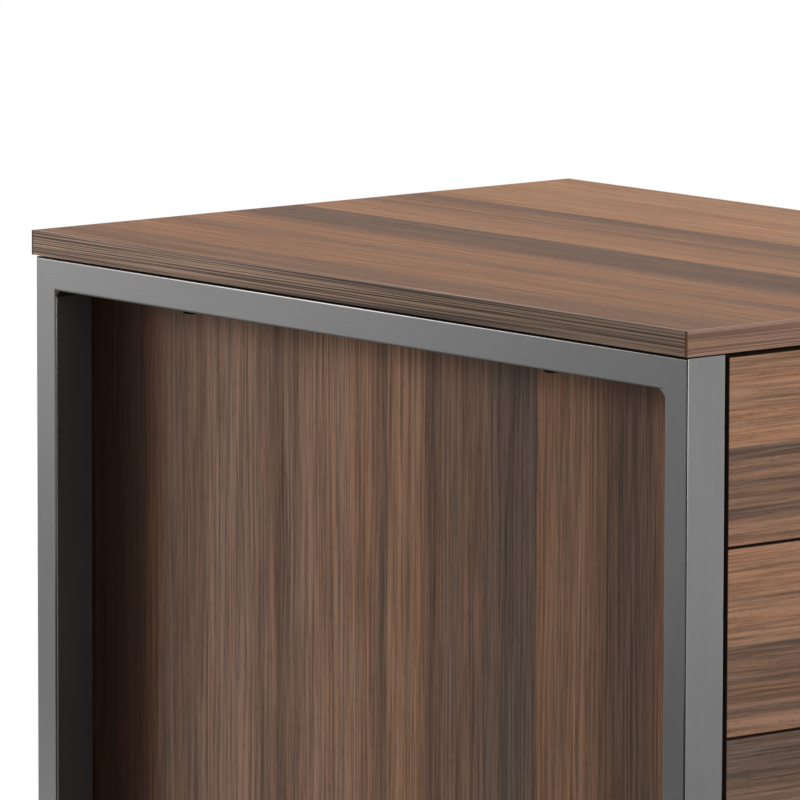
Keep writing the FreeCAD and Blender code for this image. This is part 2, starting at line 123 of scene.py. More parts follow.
def blendColour(tree, share, first, second, mode="MIX"):
    node = addNode(tree, "Mix", data_type="RGBA", blend_type=mode)
    feed(tree, node.inputs["Factor"], share)
    feed(tree, node.inputs[6], first)
    feed(tree, node.inputs[7], second)
    return node.outputs[2]


def shadeColour(tree, colour, shade):
    return blendColour(tree, 1.0, colour, shade, "MULTIPLY")


def stepUp(tree, value, low, high):
    node = addNode(tree, "MapRange", interpolation_type="SMOOTHSTEP")
    feed(tree, node.inputs["Value"], value)
    node.inputs["From Min"].default_value = low
    node.inputs["From Max"].default_value = high
    return node.outputs["Result"]


def parts(tree, vector):
    node = addNode(tree, "SeparateXYZ")
    tree.links.new(vector, node.inputs[0])
    return node.outputs


def join(tree, *values):
    node = addNode(tree, "CombineXYZ")
    for socket, value in zip(node.inputs, values):
        tree.links.new(value, socket)
    return node.outputs[0]


def stretchedNoise(tree, vector, scale, detail=2.0, roughness=0.5):
    stretch = addNode(tree, "VectorMath", operation="MULTIPLY")
    tree.links.new(vector, stretch.inputs[0])
    stretch.inputs[1].default_value = scale
    noise = addNode(tree, "TexNoise")
    tree.links.new(stretch.outputs[0], noise.inputs["Vector"])
    noise.inputs["Scale"].default_value = 1.0
    noise.inputs["Detail"].default_value = detail
    noise.inputs["Roughness"].default_value = roughness
    return noise.outputs["Fac"]


def newGroup(name, inputs, outputs):
    tree = bpy.data.node_groups.new(name, "ShaderNodeTree")
    for label, kind in inputs:
        tree.interface.new_socket(label, in_out="INPUT", socket_type="NodeSocket" + kind)
    for label, kind in outputs:
        tree.interface.new_socket(label, in_out="OUTPUT", socket_type="NodeSocket" + kind)
    return tree, tree.nodes.new("NodeGroupInput").outputs, tree.nodes.new("NodeGroupOutput").inputs


def useGroup(tree, group, **values):
    node = addNode(tree, "Group", node_tree=group)
    for label, value in values.items():
        feed(tree, node.inputs[label], value)
    return node


def newMaterial(name):
    material = bpy.data.materials.new(name)
    material.use_nodes = True
    tree = material.node_tree
    return material, tree, tree.nodes["Principled BSDF"]


def surfaceFrom(tree, shader, colour, roughness):
    tree.links.new(colour, shader.inputs["Base Color"])
    tree.links.new(roughness, shader.inputs["Roughness"])


def bump(tree, shader, height, distance):
    node = addNode(tree, "Bump")
    node.inputs["Strength"].default_value = 1.0
    node.inputs["Distance"].default_value = distance
    tree.links.new(height, node.inputs["Height"])
    tree.links.new(node.outputs["Normal"], shader.inputs["Normal"])


def boardVector(tree, axes):
    # across the grain, along it and into the board, in that order
    place = parts(tree, addNode(tree, "TexCoord").outputs["Object"])
    return join(tree, *[place[axis] for axis in axes])


def dress(material, *names):
    for name in names:
        slots = nodes[name].data.materials
        slots.clear()
        slots.append(material)


# Walnut laminate: tones as the surface's own colour, except one grey tone that is a painted sheen
# and two dark red-brown tones that are painted shadow
tones = {
    "tan": (0.284, 0.151, 0.090),
    "fawn": (0.268, 0.146, 0.090),
    "pale": (0.330, 0.180, 0.106),
    "brown": (0.222, 0.126, 0.083),
    "grey": (0.150, 0.092, 0.066),
    "umber": (0.180, 0.104, 0.071),
    # painted sheen: a grey lift that stands in for a soft box's reflection on the side panels
    "paintedSheenGrey": (0.262, 0.162, 0.115),
    "rose": (0.300, 0.178, 0.122),
    "mauve": (0.205, 0.126, 0.090),
    "ash": (0.145, 0.098, 0.075),
    "honey": (0.305, 0.172, 0.110),
    "slate": (0.120, 0.080, 0.062),
    # painted shadow: these two tones stand in for the rear posts' shadow on the side panels
    "paintedShadowRusset": (0.150, 0.068, 0.038),
    "paintedShadowSable": (0.075, 0.030, 0.014),
    "dark": (0.060, 0.038, 0.029),
}

# Scales run across the grain, along it and into the board; details are (detail, roughness)
grain = {
    "wanderScale": (9.0, 3.2, 9.0),
    "wanderReach": 5.0 * mm,
    "rippleScale": (60.0, 18.0, 30.0),
    "rippleReach": 0.9 * mm,
    "broadScale": (230.0, 3.4, 20.0),
    "broadDetail": (4.0, 0.6),
    "fineScale": (640.0, 9.0, 60.0),
    "fineDetail": (3.0, 0.75),
    "fineEdges": (0.34, 0.66),
    "fineHeight": 0.5,
    "poreScale": (2400.0, 120.0, 300.0),
    "poreEdges": (0.56, 0.72),
    "hueScale": (160.0, 3.6, 20.0),
    "depth": 0.03 * mm,
}
grainMarks = ("Broad", "Fine", "Pores", "Hue")


def makeGrainGroup():
    outputs = [(label, "Float") for label in ("Across", *grainMarks, "Height")]
    tree, start, end = newGroup("walnutGrain", [("Vector", "Vector")], outputs)
    vector = start["Vector"]
    place = parts(tree, vector)
    wander = swing(tree, stretchedNoise(tree, vector, grain["wanderScale"]), grain["wanderReach"])
    ripple = swing(tree, stretchedNoise(tree, vector, grain["rippleScale"]), grain["rippleReach"])
    across = add(tree, place["X"], add(tree, wander, ripple))
    moved = join(tree, across, place["Y"], place["Z"])
    broad = stretchedNoise(tree, moved, grain["broadScale"], *grain["broadDetail"])
    fine = stretchedNoise(tree, moved, grain["fineScale"], *grain["fineDetail"])
    fine = stepUp(tree, fine, *grain["fineEdges"])
    pores = stepUp(tree, stretchedNoise(tree, moved, grain["poreScale"]), *grain["poreEdges"])
    hue = stretchedNoise(tree, moved, grain["hueScale"])
    height = calc(tree, "SUBTRACT", times(tree, fine, grain["fineHeight"]), pores)
    for socket, value in zip(end, (across, broad, fine, pores, hue, height)):
        tree.links.new(value, socket)
    return tree


# How far the marks of the grain shade a board's broad tones
tint = {
    "broadReach": 0.72,
    "fineReach": 0.42,
    "poreShade": 0.35,
    "hueEdges": (0.35, 0.65),
    "warm": (1.04, 0.995, 0.95),
    "cool": (0.97, 1.005, 1.03),
    "roughness": 0.58,
    "poreRoughness": 0.2,
}


def makeTintGroup():
    inputs = [("Tone", "Color"), *[(label, "Float") for label in (*grainMarks, "Contrast")]]
    tree, start, end = newGroup("walnutTint", inputs, [("Color", "Color"), ("Roughness", "Float")])
    broad = swing(tree, start["Broad"], tint["broadReach"])
    fine = times(tree, swing(tree, start["Fine"], tint["fineReach"]), start["Contrast"])
    shade = times(tree, add(tree, add(tree, broad, fine), 1.0),
                  oneLess(tree, times(tree, start["Pores"], tint["poreShade"])))
    toned = shadeColour(tree, start["Tone"], shade)
    warmed = shadeColour(tree, toned, rgba(tint["warm"]))
    cooled = shadeColour(tree, toned, rgba(tint["cool"]))
    warm = stepUp(tree, start["Hue"], *tint["hueEdges"])
    rough = add(tree, tint["roughness"], times(tree, start["Pores"], tint["poreRoughness"]))
    tree.links.new(blendColour(tree, warm, cooled, warmed), end["Color"])
    tree.links.new(rough, end["Roughness"])
    return tree


grainGroup = makeGrainGroup()
tintGroup = makeTintGroup()


def toneRamp(tree, across, figure, start, width):
    # figure lists (place in millimetres from the start edge, tone)
    share = addNode(tree, "MapRange")
    feed(tree, share.inputs["Value"], across)
    share.inputs["From Min"].default_value = start
    share.inputs["From Max"].default_value = start + width
    ramp = addNode(tree, "ValToRGB")
    tree.links.new(share.outputs["Result"], ramp.inputs["Fac"])
    stops = ramp.color_ramp.elements
    ready = len(stops)  # a new ramp has two stops already
    for index, (place, tone) in enumerate(figure):
        position = place * mm / abs(width)
        stop = stops[index] if index < ready else stops.new(position)
        stop.position = position
        stop.color = rgba(tones[tone])
    return ramp.outputs["Color"]


def laminate(name, axes, figure, start, width, contrast=1.0, sheen=0.06, edge="umber"):
    # axes: across the grain, along it, into the board; the narrow edges have one tone
    material, tree, shader = newMaterial(name)
    marks = useGroup(tree, grainGroup, Vector=boardVector(tree, axes)).outputs
    tone = toneRamp(tree, marks["Across"], figure, start, width)
    tinted = useGroup(tree, tintGroup, Tone=tone, Contrast=contrast,
                      **{label: marks[label] for label in grainMarks}).outputs
    facing = parts(tree, addNode(tree, "TexCoord").outputs["Normal"])
    narrow = under(tree, absolute(tree, facing[axes[2]]), squareOn)
    colour = blendColour(tree, narrow, tinted["Color"], rgba(tones[edge]))
    surfaceFrom(tree, shader, colour, tinted["Roughness"])
    shader.inputs["Specular IOR Level"].default_value = sheen
    bump(tree, shader, marks["Height"], grain["depth"])
    return material


topFigure = [(0, "tan"), (10, "brown"), (40, "brown"), (50, "tan"), (98, "tan"), (106, "brown"),
             (114, "brown"), (122, "tan"), (148, "tan"), (168, "grey"), (214, "grey"),
             (217, "pale"), (248, "tan"), (270, "brown"), (274, "grey"), (278, "tan"),
             (286, "brown"), (315, "grey"), (319, "tan"), (336, "pale"), (368, "pale"),
             (380, "tan"), (392, "pale"), (420, "pale"), (445, "tan")]
# the side's figure has a painted grey sheen from 380 to 458 mm, and from 500 mm on it darkens into
# a painted shadow of the rear post
sideFigure = [(0, "tan"), (34, "brown"), (42, "brown"), (46, "grey"), (82, "grey"), (94, "brown"),
              (112, "honey"), (119, "honey"), (148.6, "tan"), (150.2, "ash"), (183, "ash"),
              (195, "mauve"), (236, "mauve"), (248, "grey"), (258, "honey"), (287, "honey"),
              (290, "slate"), (293, "mauve"), (308, "honey"), (330, "rose"), (366, "rose"),
              (375, "mauve"), (380, "paintedSheenGrey"), (391, "grey"), (398, "paintedSheenGrey"), (407, "mauve"),
              (412, "paintedSheenGrey"), (458, "paintedSheenGrey"), (474, "mauve"), (500, "mauve"), (516, "paintedShadowRusset"),
              (545, "paintedShadowSable")]
frontFigure = [(0, "tan"), (3, "tan"), (4, "brown"), (5, "fawn"), (25, "fawn"), (26.5, "brown"),
               (28, "fawn"), (52.8, "fawn"), (53.8, "slate"), (58, "grey"), (63, "umber"),
               (72, "umber"), (74, "slate"), (77, "umber"), (88, "umber"), (92, "slate"),
               (95, "umber"), (100, "brown"), (110.5, "brown")]
fileFigure = [(0, "slate"), (7, "slate"), (22, "slate"), (42, "umber"), (60, "tan"), (108, "tan"),
              (110, "slate"), (128, "grey"), (150, "brown"), (190, "tan"), (232, "pale"),
              (234, "brown"), (262, "umber"), (280, "tan")]

# shift moves a front's figure down, so that no two fronts are cut alike
frontBoards = {
    "top_drawer": {"figure": frontFigure, "shift": 0.0},
    "second_drawer": {"figure": frontFigure, "shift": 4.0 * mm},
    "file_drawer": {"figure": fileFigure, "shift": 0.0},
}
innerBoards = {"start": -280.0 * mm, "width": 600.0 * mm}

bandLow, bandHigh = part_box("top_edge_bands")
dress(laminate("walnutTop", "XYZ", topFigure, bandLow.x, bandHigh.x - bandLow.x, contrast=1.2,
               sheen=0.027), "top_panel")
for side in ("left", "right"):
    low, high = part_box(side + "_side_panel")
    dress(laminate("walnut" + side.title() + "Side", "YZX", sideFigure, low.y, high.y - low.y,
                   contrast=1.9, sheen=0.15), side + "_side_panel")
for drawer, board in frontBoards.items():
    low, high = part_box(drawer + "_front")
    dress(laminate("walnutFront." + drawer, "ZXY", board["figure"], high.z - board["shift"],
                   low.z - high.z, contrast=1.5, edge="dark"), drawer + "_front")
low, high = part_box("back_panel")
dress(laminate("walnutBack", "XZY", topFigure, low.x, high.x - low.x), "back_panel")
dress(laminate("walnutInner", "YXZ", topFigure, **innerBoards),
      "bottom_panel", "front_stretcher", "rear_stretcher")
print("boards dressed")


# Edge bands: striped along their length, with a dark core and a painted highlight line at the
# corners
band = {
    "thickness": 2.0 * mm,
    "stripeScale": (1250.0, 2.6, 4.0),
    "stripeDetail": (2.0, 0.55),
    "stripeEdges": (0.44, 0.56),
    "sideDark": (0.078, 0.047, 0.034),
    "sidePale": (0.430, 0.284, 0.199),
    "frontDark": (0.130, 0.070, 0.050),
    "frontPale": (0.275, 0.162, 0.114),
    # painted shade: the side bands are darker at the front and lighter at the rear
    "paintedFalloffFrom": 0.80,
    "paintedFalloff": 0.34,
    "fleckScale": (1800.0, 90.0, 9.0),
    "fleckFrom": 0.8,
    "fleck": 0.4,
    "core": (0.045, 0.020, 0.010),
    # painted highlight: a light line where the core meets the front face
    "paintedArrisHighlight": (0.260, 0.115, 0.048),
    "paintedHighlightWidth": 1.0 * mm,
    "seam": 0.7 * mm,
    "seamEdge": 0.2 * mm,
    "seamLean": (0.998, 0.93),
    "seamShare": 0.6,
    "roughness": 0.42,
    "fleckRoughness": 0.15,
    "sheen": 0.3,
    "depth": 0.03 * mm,
}


def bandStripes(tree, place, facing):
    # the side bands have more contrast than the front ones, and their colour has painted shade
    # that darkens them towards the front
    onSide = over(tree, absolute(tree, place["X"]), bandHigh.x - band["thickness"])
    onSide = times(tree, onSide, oneLess(tree, over(tree, absolute(tree, facing["Y"]), squareOn)))
    vector = join(tree, place["Z"], add(tree, place["X"], place["Y"]), onSide)
    stripes = stretchedNoise(tree, vector, band["stripeScale"], *band["stripeDetail"])
    stripes = stepUp(tree, stripes, *band["stripeEdges"])
    # painted shade: darker towards the front end, lighter towards the rear end
    paintedFalloff = stepUp(tree, place["Y"], bandLow.y, bandHigh.y)
    paintedFalloff = add(tree, band["paintedFalloffFrom"], times(tree, paintedFalloff, band["paintedFalloff"]))
    sideColour = blendColour(tree, stripes, rgba(band["sideDark"]), rgba(band["sidePale"]))
    sideColour = shadeColour(tree, sideColour, paintedFalloff)
    frontColour = blendColour(tree, stripes, rgba(band["frontDark"]), rgba(band["frontPale"]))
    flecks = stretchedNoise(tree, vector, band["fleckScale"])
    fleck = add(tree, band["fleckFrom"], times(tree, flecks, band["fleck"]))
    colour = blendColour(tree, onSide, frontColour, sideColour)
    return shadeColour(tree, colour, fleck), flecks


def bandCore(tree, place, facing, colour):
    halfLength = (bandHigh.y - bandLow.y) / 2
    fromMiddle = calc(tree, "SUBTRACT", place["Y"], bandLow.y + halfLength)
    endways = absolute(tree, fromMiddle)
    core = over(tree, endways, halfLength - band["thickness"])
    core = times(tree, core, over(tree, absolute(tree, facing["X"]), squareOn))
    # painted highlight: the millimetre of core next to the front face is lighter
    nearFace = over(tree, endways, halfLength - band["paintedHighlightWidth"])
    coreColour = blendColour(tree, nearFace, rgba(band["core"]), rgba(band["paintedArrisHighlight"]))
    return blendColour(tree, core, colour, coreColour)


def bandSeam(tree, place, facing, colour):
    # a dark line under the top's own laminate
    seam = stepUp(tree, place["Z"], bandHigh.z - band["seam"], bandHigh.z - band["seamEdge"])
    seam = times(tree, seam, stepUp(tree, facing["Z"], *band["seamLean"]))
    return blendColour(tree, times(tree, seam, band["seamShare"]), colour, rgba(tones["dark"]))


def bandMaterial():
    material, tree, shader = newMaterial("walnutEdgeBand")
    surface = addNode(tree, "TexCoord").outputs
    place = parts(tree, surface["Object"])
    facing = parts(tree, surface["Normal"])
    colour, flecks = bandStripes(tree, place, facing)
    colour = bandCore(tree, place, facing, colour)
    colour = bandSeam(tree, place, facing, colour)
    rough = add(tree, band["roughness"], times(tree, flecks, band["fleckRoughness"]))
    surfaceFrom(tree, shader, colour, rough)
    shader.inputs["Specular IOR Level"].default_value = band["sheen"]
    bump(tree, shader, flecks, band["depth"])
    return material


dress(bandMaterial(), "top_edge_bands")
print("edge bands dressed")


# Satin metal: brushed along each tube, with faint clouding
brush = {
    "lineScale": (2600.0, 26.0, 2600.0),
    "lineDetail": (3.0, 0.6),
    "cloudScale": (30.0, 9.0, 30.0),
    "roughnessShare": 0.5,
    "depth": 0.004 * mm,
}

# Rounded edges that face neither back nor down are polished by handling, and the others get
# painted shade, darkened towards near black
arrisWearAndShade = {
    "rounded": (0.002, 0.03),
    "backLimit": 0.02,
    "downLimit": -0.02,
    "paintedShadeShare": 0.62,
    "paintedShadeColour": (0.03, 0.03, 0.03),
}


def makeBrushedGroup():
    inputs = [("Vector", "Vector"), ("Fine", "Float"), ("Cloud", "Float")]
    outputs = [("Shade", "Float"), ("Roughness", "Float"), ("Height", "Float")]
    tree, start, end = newGroup("brushedMetal", inputs, outputs)
    lines = stretchedNoise(tree, start["Vector"], brush["lineScale"], *brush["lineDetail"])
    cloud = stretchedNoise(tree, start["Vector"], brush["cloudScale"])
    marks = add(tree, swing(tree, lines, start["Fine"]), swing(tree, cloud, start["Cloud"]))
    tree.links.new(add(tree, 1.0, marks), end["Shade"])
    tree.links.new(marks, end["Roughness"])
    tree.links.new(lines, end["Height"])
    return tree


brushedGroup = makeBrushedGroup()


def wearAndShadeArris(tree, shade, rough, polish):
    facing = parts(tree, addNode(tree, "TexCoord").outputs["Normal"])
    leans = [absolute(tree, facing[axis]) for axis in "XYZ"]
    flat = calc(tree, "MAXIMUM", leans[0], calc(tree, "MAXIMUM", leans[1], leans[2]))
    rounded = stepUp(tree, oneLess(tree, flat), *arrisWearAndShade["rounded"])
    handled = times(tree, under(tree, facing["Y"], arrisWearAndShade["backLimit"]),
                    over(tree, facing["Z"], arrisWearAndShade["downLimit"]))
    polished = times(tree, rounded, handled)
    # painted shade: rounded edges that face back or down are darkened
    paintedArrisShade = times(tree, times(tree, rounded, oneLess(tree, handled)), arrisWearAndShade["paintedShadeShare"])
    return (blendColour(tree, paintedArrisShade, shade, rgba(arrisWearAndShade["paintedShadeColour"])),
            add(tree, rough, times(tree, polished, polish)))


def metal(name, colour, roughness, axes, fine=0.25, cloud=0.12, arris=None, paint=1.0):
    # arris is the roughness of polished edges, and paint is how metallic the finish is
    material, tree, shader = newMaterial(name)
    marks = useGroup(tree, brushedGroup, Vector=boardVector(tree, axes), Fine=fine,
                     Cloud=cloud).outputs
    shade = shadeColour(tree, rgba(colour), marks["Shade"])
    rough = add(tree, roughness, times(tree, marks["Roughness"], brush["roughnessShare"]))
    if arris:
        shade, rough = wearAndShadeArris(tree, shade, rough, arris - roughness)
    surfaceFrom(tree, shader, shade, rough)
    shader.inputs["Metallic"].default_value = paint
    bump(tree, shader, marks["Height"], brush["depth"])
    return material


frameGrey = (0.255, 0.250, 0.250)
frameFinish = {"colour": frameGrey, "roughness": 0.33, "arris": 0.10}
postMetal = metal("satinFramePost", axes="XZY", paint=0.86, **frameFinish)
barMetal = metal("satinFrameBar", axes="XYZ", paint=0.9, **frameFinish)
railMetal = metal("satinFrameRail", axes="YXZ", paint=0.9, **frameFinish)
pullMetal = metal("satinPull", frameGrey, 0.30, "ZXY")
zincMetal = metal("zincSlide", (0.58, 0.59, 0.60), 0.34, "ZYX", fine=0.2, cloud=0.2)
zincScrew = metal("zincScrew", (0.60, 0.61, 0.62), 0.30, "XYZ", fine=0.2, cloud=0.2)
nickel = metal("satinNickel", (0.50, 0.50, 0.51), 0.26, "XYZ", fine=0.1, cloud=0.05)
for side in ("left", "right"):
    dress(postMetal, side + "_front_post", side + "_rear_post")
    dress(barMetal, side + "_top_bar", side + "_bottom_bar")
dress(railMetal, "front_cross_rail", "rear_cross_rail")
dress(nickel, "lock_barrel", "lock_plug", "lock_cam")
dress(zincScrew, "case_bolts", "foot_nuts", "hanging_file_bars")
for drawer in drawers:
    dress(pullMetal, drawer + "_pull")
    dress(zincMetal, *[drawer + member for member in ("_outer_slides", "_middle_slides",
                                                      "_inner_slides")])

# Welds: ground and painted at the front corners. At the rear corners they are rough and lumpy, and
# their colour is painted shade, near black
weld = {
    "lumpScale": (520.0, 420.0, 420.0),
    "lumpDetail": (3.0, 0.6),
    "paintedShadeDeep": (0.012, 0.011, 0.011),
    "paintedShadeLumps": (0.085, 0.080, 0.078),
    "roughness": 0.33,
    "lumpRoughness": 0.4,
    "groundHeight": 0.08,
    "depth": 0.9 * mm,
}


def weldMaterial():
    material, tree, shader = newMaterial("frameWeld")
    place = boardVector(tree, "XYZ")
    rear = over(tree, parts(tree, place)["Y"], 0.0)
    lumps = stretchedNoise(tree, place, weld["lumpScale"], *weld["lumpDetail"])
    # painted shade: the rear welds' near black colour stands in for the shade in the rear corners
    paintedRearShade = blendColour(tree, lumps, rgba(weld["paintedShadeDeep"]), rgba(weld["paintedShadeLumps"]))
    rough = times(tree, times(tree, rear, lumps), weld["lumpRoughness"])
    surfaceFrom(tree, shader, blendColour(tree, rear, rgba(frameGrey), paintedRearShade),
                add(tree, weld["roughness"], rough))
    shader.inputs["Metallic"].default_value = 1.0
    bump(tree, shader, times(tree, lumps, add(tree, rear, weld["groundHeight"])), weld["depth"])
    return material


dress(weldMaterial(), "corner_welds")

# Plain finishes: a colour with fine mottling and a light skin texture
mottle = {"detail": (4.0, 0.6), "roughness": 0.1}


def plainFinish(name, colour, roughness, scale, spread, depth, specular=0.5):
    material, tree, shader = newMaterial(name)
    marks = stretchedNoise(tree, boardVector(tree, "XYZ"), (scale,) * 3, *mottle["detail"])
    shade = add(tree, 1 - spread / 2, times(tree, marks, spread))
    rough = add(tree, roughness - mottle["roughness"] / 2, times(tree, marks, mottle["roughness"]))
    surfaceFrom(tree, shader, shadeColour(tree, rgba(colour), shade), rough)
    shader.inputs["Specular IOR Level"].default_value = specular
    bump(tree, shader, marks, depth)
    return material


drawerBoard = plainFinish("drawerBoard", (0.36, 0.34, 0.32), roughness=0.5, scale=900.0,
                          spread=0.2, depth=0.03 * mm, specular=0.35)
dowelWood = plainFinish("beechDowel", (0.62, 0.45, 0.28), roughness=0.6, scale=500.0,
                        spread=0.3, depth=0.05 * mm, specular=0.3)
blackSteel = plainFinish("blackSteel", (0.022, 0.022, 0.023), roughness=0.4, scale=700.0,
                         spread=0.4, depth=0.02 * mm)
blackRubber = plainFinish("blackRubber", (0.020, 0.020, 0.020), roughness=0.8, scale=400.0,
                          spread=0.3, depth=0.05 * mm, specular=0.3)
blackScrew = plainFinish("blackScrew", (0.006, 0.006, 0.006), roughness=0.6, scale=700.0,
                         spread=0.4, depth=0.02 * mm, specular=0.1)
blackNylon = plainFinish("blackNylon", (0.024, 0.024, 0.025), roughness=0.5, scale=900.0,
                         spread=0.3, depth=0.02 * mm, specular=0.4)
corners = ("front_left", "front_right", "rear_left", "rear_right")
for drawer in drawers:
    dress(drawerBoard, *[drawer + board for board in ("_left_side", "_right_side", "_back",
                                                      "_bottom")])
dress(dowelWood, "case_dowels")
dress(blackScrew, "top_screws", "base_screws")
dress(blackSteel, *[corner + "_foot" for corner in corners])
dress(blackRubber, "top_pads")
print("metals and plain finishes dressed")


# Small fittings: each is modelled once, with its own axis along Z, and copied to its places
squarely = 0.9  # a picked face looks its way at least this squarely
softAngle = radians(40)
smoothAngle = radians(32)


def startPiece():
    if bpy.context.mode != "OBJECT":
        bpy.ops.object.mode_set(mode="OBJECT")
    bpy.ops.object.select_all(action="DESELECT")


def settle():
    # puts the active piece's place, turn and scale into its mesh
    bpy.ops.object.transform_apply(location=True, rotation=True, scale=True)


def pickFaces(piece, wanted):
    # leaves edit mode on, with only the wanted faces selected
    bpy.ops.object.mode_set(mode="EDIT")
    bpy.ops.mesh.select_mode(type="FACE")
    bpy.ops.mesh.select_all(action="DESELECT")
    bpy.ops.object.mode_set(mode="OBJECT")
    for face in piece.data.polygons:
        face.select = wanted(face.center, face.normal)
    bpy.ops.object.mode_set(mode="EDIT")


def facesUp(centre, normal):
    return normal.z > squarely


def facesDown(centre, normal):
    return normal.z < -squarely


def facesAhead(centre, normal):
    return normal.x > squarely


def facesBack(centre, normal):
    return normal.x < -squarely


def extrude(step):
    bpy.ops.mesh.extrude_region_move(TRANSFORM_OT_translate={"value": step})


def extrudeTapered(step, taper):
    extrude(step)
    bpy.ops.transform.resize(value=(1, taper, 1))


def insetAndLift(thickness, height):
    bpy.ops.mesh.inset(thickness=thickness)
    bpy.ops.transform.translate(value=(0, 0, height))


def finishWith(piece, kind, **settings):
    modifier = piece.modifiers.new(kind.title(), kind)
    for name, value in settings.items():
        setattr(modifier, name, value)
    bpy.context.view_layer.objects.active = piece
    bpy.ops.object.modifier_apply(modifier=modifier.name)


def softenEdges(piece, width, segments=2):
    finishWith(piece, "BEVEL", width=width, segments=segments, limit_method="ANGLE",
               angle_limit=softAngle)


def cutAway(piece, cutter):
    startPiece()
    piece.select_set(True)
    finishWith(piece, "BOOLEAN", object=cutter, operation="DIFFERENCE", solver="EXACT")
    bpy.data.objects.remove(cutter)


def joinInto(piece, other):
    startPiece()
    other.select_set(True)
    piece.select_set(True)
    bpy.context.view_layer.objects.active = piece
    bpy.ops.object.join()
    return piece


def addBlock(size, place=(0, 0, 0)):
    startPiece()
    bpy.ops.mesh.primitive_cube_add(size=1, location=place)
    made = bpy.context.object
    made.scale = size
    settle()
    return made


def addDisc(radius, low, high, sides=32):
    startPiece()
    bpy.ops.mesh.primitive_cylinder_add(vertices=sides, radius=radius, depth=high - low,
                                        location=(0, 0, (low + high) / 2))
    settle()
    return bpy.context.object


def spread(pattern, name, body, slotName, material, places):
    # places lists (point, way out, way along) for the pattern's origin, Z axis and X axis
    copies = []
    for point, outward, along in places:
        copy = pattern.copy()
        copy.data = pattern.data.copy()
        bpy.context.scene.collection.objects.link(copy)
        outward, along = Vector(outward), Vector(along)
        turn = Matrix((along, outward.cross(along), outward)).transposed().to_4x4()
        copy.matrix_world = Matrix.Translation(point) @ turn
        copies.append(copy)
    bpy.context.view_layer.update()
    startPiece()
    for copy in copies:
        copy.select_set(True)
    bpy.context.view_layer.objects.active = copies[0]
    settle()
    bpy.ops.object.join()
    bpy.ops.object.shade_smooth_by_angle(angle=smoothAngle)
    piece = bpy.context.object
    piece.name = name
    piece.data.name = name
    piece.data.materials.clear()
    piece.data.materials.append(material)
    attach(piece, body)
    bpy.data.objects.remove(pattern)
    return piece


xWay, yWay, zWay = (1, 0, 0), (0, 1, 0), (0, 0, 1)
frontWay = (0, -1, 0)

# Pan head screws with a cross recess, on a flange or washer
pullScrew = {"washer": 5.5 * mm, "sheet": 0.8 * mm, "head": 3.8 * mm, "rise": 1.2 * mm,
             "dome": 0.6 * mm, "slotWidth": 0.9 * mm, "slotReach": 4.2 * mm,
             "slotDepth": 1.3 * mm}
slideScrew = {"washer": 3.4 * mm, "sheet": 0.3 * mm, "head": 3.1 * mm, "rise": 0.5 * mm,
              "dome": 0.4 * mm, "slotWidth": 0.8 * mm, "slotReach": 3.4 * mm,
              "slotDepth": 0.8 * mm}
backScrew = {"washer": 4.4 * mm, "sheet": 0.4 * mm, "head": 4.0 * mm, "rise": 0.5 * mm,
             "dome": 0.5 * mm, "slotWidth": 1.0 * mm, "slotReach": 4.6 * mm,
             "slotDepth": 1.0 * mm}
# shares of the head's radius and of the dome's height, step by step up the dome
domeShares = ((0.16, 0.55), (0.24, 0.35), (0.3, 0.1))
washerEdge = 0.1 * mm


def modelScrew(shape):
    screw = addDisc(shape["washer"], 0, shape["sheet"])
    softenEdges(screw, washerEdge, 1)
    pickFaces(screw, facesUp)
    bpy.ops.mesh.inset(thickness=shape["washer"] - shape["head"] - washerEdge)
    extrude((0, 0, shape["rise"]))
    for inward, upward in domeShares:
        insetAndLift(shape["head"] * inward, shape["dome"] * upward)
    bpy.ops.object.mode_set(mode="OBJECT")
    top = shape["sheet"] + shape["rise"] + shape["dome"]
    width, reach, depth = shape["slotWidth"], shape["slotReach"], shape["slotDepth"]
    for slot in ((width, reach), (reach, width)):
        cutAway(screw, addBlock((*slot, depth * 2), (0, 0, top)))
    return screw


# A domed bumper that a drawer front closes on
bumper = {"radius": 4.0 * mm, "base": 0.4 * mm, "rise": 0.8 * mm, "steps": 4, "stepShare": 0.19}


def modelBumper():
    pad = addDisc(bumper["radius"], 0, bumper["base"])
    pickFaces(pad, facesUp)
    height = 0.0
    for step in range(bumper["steps"]):
        share = (step + 1) / (bumper["steps"] + 1)
        level = bumper["rise"] * sin(share * pi / 2)
        insetAndLift(bumper["radius"] * bumper["stepShare"], level - height)
        height = level
    bpy.ops.object.mode_set(mode="OBJECT")
    return pad


# The release lever in each drawer member: a tongue with a bent thumb tab and a hooked end
lever = {
    "length": 46.0 * mm,
    "height": 9.0 * mm,
    "sheet": 1.3 * mm,
    "tab": 9.0 * mm,
    "bend": 3.2 * mm,
    "tabShares": (0.35, 0.65),
    "tabTaper": 0.85,
    "hookShares": (0.5, 0.5),
    "hookTaper": 0.7,
    "edge": 0.35 * mm,
    "pin": 2.6 * mm,
    "pinRise": 1.6 * mm,
    "pinShares": (0.4, 0.3),
    "pinSides": 24,
    "dimple": 0.5 * mm,
}


